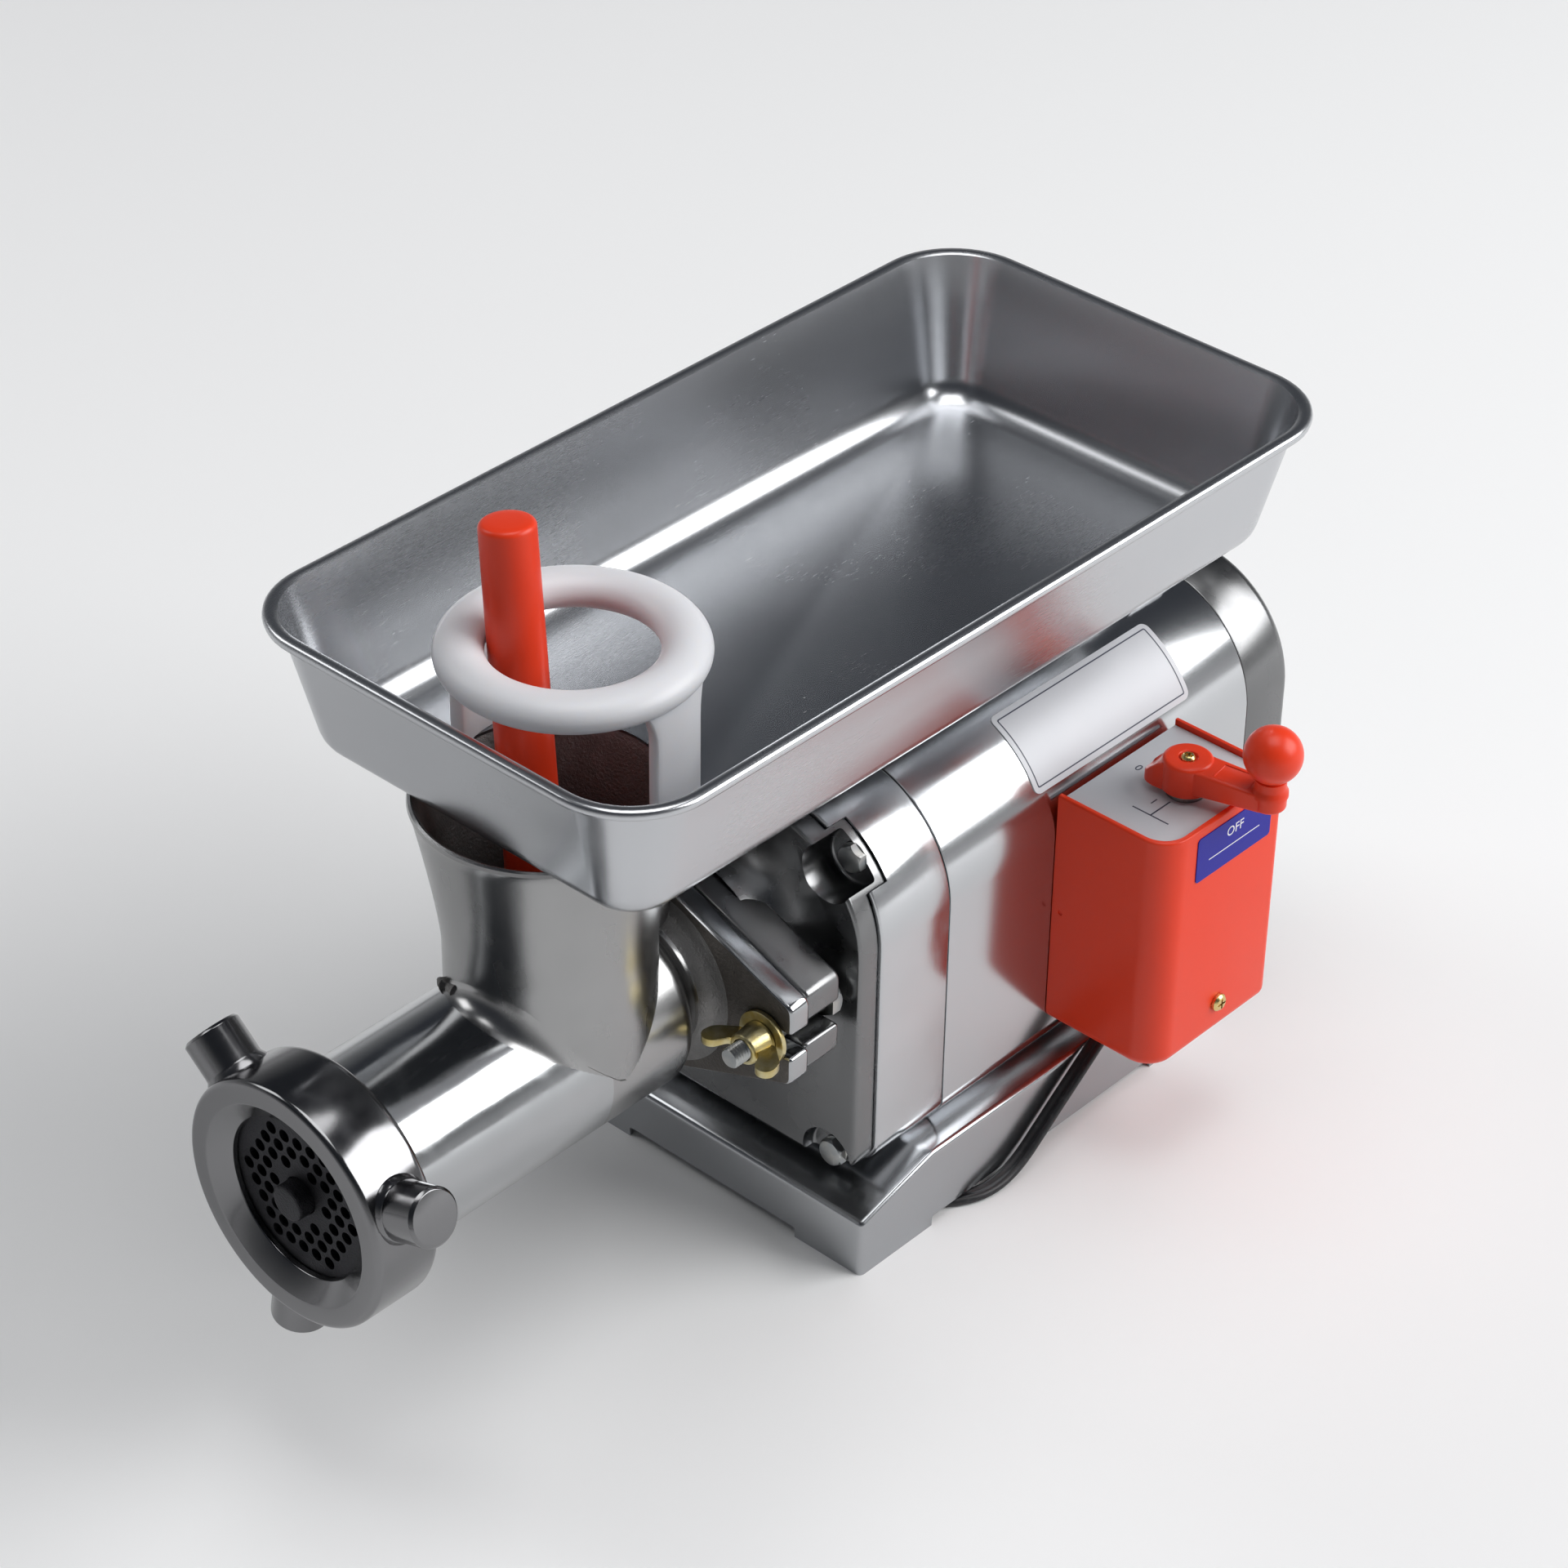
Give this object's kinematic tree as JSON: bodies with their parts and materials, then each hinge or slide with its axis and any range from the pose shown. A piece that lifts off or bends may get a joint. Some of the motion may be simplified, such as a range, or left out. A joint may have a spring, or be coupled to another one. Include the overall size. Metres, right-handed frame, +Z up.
{
  "type": "electric meat grinder",
  "caption": "Counter-top electric meat grinder: cast feed head with ring nut and plate, geared motor housing, steel feed tray with guard and plunger, side switch box with lever, and mains cord.",
  "frame": {"origin": "on the table under the middle of the machine's box, without its cord", "axes": "+Z up, outlet towards -Y, switch box on the +X side"},
  "size_m": [0.3498, 0.4676, 0.3208],
  "materials": {
    "polished_cast": "polished casting",
    "mirror_sheet": "mirror-polished stainless sheet",
    "satin_sheet": "satin stainless sheet",
    "base_sheet": "bright stainless sheet",
    "dark_steel": "hardened steel, dark",
    "zinc_steel": "zinc-plated steel",
    "yellow_zinc": "yellow zinc plating",
    "brass": "bright brass",
    "bronze": "bearing bronze",
    "copper_wire": "varnished copper wire",
    "laminations": "steel laminations",
    "red_plastic": "gloss red plastic",
    "white_nylon": "white nylon",
    "black_rubber": "black cord sheath",
    "black_plastic": "black moulded plastic",
    "silver_plate": "silver printed sheet",
    "blue_label": "blue printed label"
  },
  "bodies": {
    "base": {"base_pan": "base_sheet", "gear_cover": "polished_cast", "gear_case": "polished_cast", "housing_shell": "mirror_sheet", "motor_shield": "polished_cast", "rear_cover": "polished_cast", "stator_stack": "laminations", "front_winding": "copper_wire", "rear_winding": "copper_wire", "front_bearing": "zinc_steel", "rear_bearing": "zinc_steel", "idler_pin": "zinc_steel", "output_bush": "bronze", "head_body": "polished_cast", "thrust_washer": "bronze", "grinding_plate": "dark_steel", "tray_support": "satin_sheet", "switch_box": "red_plastic", "switch_top_plate": "silver_plate", "switch_body": "black_plastic", "run_capacitor": "black_plastic", "box_screw": "brass", "switch_label": "blue_label", "shell_label": "silver_plate", "strain_relief": "black_rubber", "power_cord": "black_rubber", "cord_coil": "black_rubber", "plug_body": "black_rubber", "plug_blade_1": "brass", "plug_blade_2": "brass", "case_bolt_1": "zinc_steel", "tie_bolt_1": "zinc_steel", "case_bolt_2": "zinc_steel", "tie_bolt_2": "zinc_steel", "case_bolt_3": "zinc_steel", "tie_bolt_3": "zinc_steel", "case_bolt_4": "zinc_steel", "tie_bolt_4": "zinc_steel"},
    "rotor": {"rotor_core": "laminations", "rotor_shaft": "zinc_steel", "cooling_fan": "black_plastic"},
    "idler": {"idler_gear": "dark_steel", "idler_pinion": "dark_steel"},
    "output": {"output_gear": "dark_steel", "output_shaft": "zinc_steel", "auger": "polished_cast", "knife": "dark_steel"},
    "ring": {"ring_nut": "polished_cast"},
    "clamp_right": {"clamp_bolt_right": "zinc_steel", "clamp_washer_right": "yellow_zinc"},
    "wing_right": {"wing_nut_right": "yellow_zinc"},
    "clamp_left": {"clamp_bolt_left": "zinc_steel", "clamp_washer_left": "yellow_zinc"},
    "wing_left": {"wing_nut_left": "yellow_zinc"},
    "lever": {"switch_drum": "zinc_steel", "switch_handle": "red_plastic", "handle_screw": "brass"},
    "feed_tray": {"tray": "satin_sheet"},
    "hand_guard": {"guard": "white_nylon"},
    "pusher": {"plunger": "red_plastic"}
  },
  "joints": [
    {"name": "motor_spin", "type": "hinge", "parent": "base", "child": "rotor", "pos_m": [-0.02275, 0.01445, 0.1035], "axis": [0, 1, 0], "continuous": true},
    {"name": "idler_spin", "type": "hinge", "parent": "base", "child": "idler", "pos_m": [-0.02275, 0.01445, 0.071], "axis": [0, 1, 0], "continuous": true},
    {"name": "output_spin", "type": "hinge", "parent": "base", "child": "output", "pos_m": [-0.02275, 0.01445, 0.119], "axis": [0, 1, 0], "continuous": true},
    {"name": "ring_nut_turn", "type": "hinge", "parent": "base", "child": "ring", "pos_m": [-0.02275, -0.21955, 0.119], "axis": [0, -1, 0], "continuous": true},
    {"name": "clamp_right_slide", "type": "slide", "parent": "base", "child": "clamp_right", "axis": [1, 0, 0], "range_m": [0, 0.02]},
    {"name": "wing_right_turn", "type": "hinge", "parent": "clamp_right", "child": "wing_right", "pos_m": [0.03125, -0.06355, 0.119], "axis": [0, -1, 0], "continuous": true},
    {"name": "clamp_left_slide", "type": "slide", "parent": "base", "child": "clamp_left", "axis": [-1, 0, 0], "range_m": [0, 0.02]},
    {"name": "wing_left_turn", "type": "hinge", "parent": "clamp_left", "child": "wing_left", "pos_m": [-0.07675, -0.06355, 0.119], "axis": [0, -1, 0], "continuous": true},
    {"name": "switch_turn", "type": "hinge", "parent": "base", "child": "lever", "pos_m": [0.07425, 0.12395, 0.16], "axis": [0, 0, 1], "range_deg": [-45, 45]},
    {"name": "tray_lift", "type": "slide", "parent": "base", "child": "feed_tray", "axis": [0, 0, 1], "range_m": [0, 0.12]},
    {"name": "guard_lift", "type": "slide", "parent": "feed_tray", "child": "hand_guard", "axis": [0, 0, 1], "range_m": [0, 0.1]},
    {"name": "plunger_slide", "type": "slide", "parent": "hand_guard", "child": "pusher", "axis": [-0.101, 0.0311, 0.9944], "range_m": [0, 0.16]}
  ],
  "couplings": [
    {"joint": "idler_spin", "follows": "motor_spin", "ratio": -0.3},
    {"joint": "output_spin", "follows": "motor_spin", "ratio": 0.1}
  ]
}
